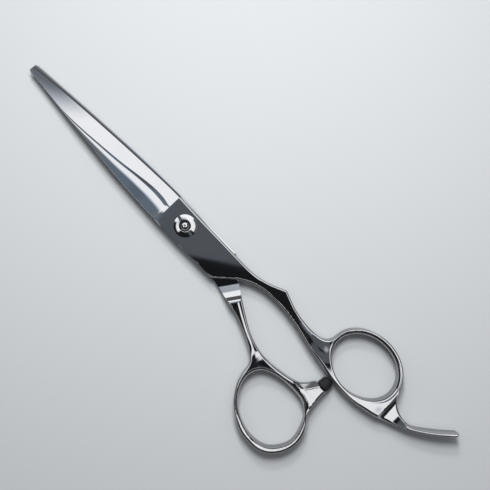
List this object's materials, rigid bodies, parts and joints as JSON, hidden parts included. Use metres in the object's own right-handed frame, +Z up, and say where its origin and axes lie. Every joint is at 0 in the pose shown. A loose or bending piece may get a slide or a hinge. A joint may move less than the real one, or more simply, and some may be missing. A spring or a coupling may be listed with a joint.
{
  "type": "hair cutting shears",
  "caption": "Hairdresser's shears with offset ring handles, a curved finger rest, a rubber bumper and a slotted tension dial at the blade pivot.",
  "frame": {"origin": "on the pivot axis, in the flat underside of the pivot bolt's head, which is level with the undersides of both rings", "axes": "+X along the closed blades to the tips, +Y towards the thumb ring, +Z up the pivot axis to the tension dial"},
  "size_m": [0.1903, 0.0577, 0.0083],
  "materials": {
    "blade_steel": "mirror-polished hardened stainless steel",
    "handle_steel": "mirror-polished stainless steel",
    "pivot_steel": "polished turned stainless steel",
    "spring_steel": "satin spring steel",
    "bearing_plastic": "natural acetal",
    "bumper_rubber": "smooth black rubber"
  },
  "bodies": {
    "finger_side": {"finger_blade": "blade_steel", "finger_handle": "handle_steel", "pivot_bushing": "bearing_plastic"},
    "thumb_side": {"thumb_blade": "blade_steel", "thumb_handle": "handle_steel", "bumper": "bumper_rubber", "bumper_stud": "spring_steel", "pivot_bolt": "pivot_steel", "thrust_washer": "bearing_plastic", "friction_washer": "spring_steel", "click_spring": "spring_steel"},
    "tension_dial": {"tension_nut": "pivot_steel"}
  },
  "joints": [
    {"name": "blade_pivot", "type": "hinge", "parent": "finger_side", "child": "thumb_side", "pos_m": [0, 0, 0.00313], "axis": [0, 0, -1], "range_deg": [0, 145]},
    {"name": "dial_turn", "type": "hinge", "parent": "thumb_side", "child": "tension_dial", "pos_m": [0, 0, 0.007], "axis": [0, 0, 1], "range_deg": [-90, 90]}
  ]
}
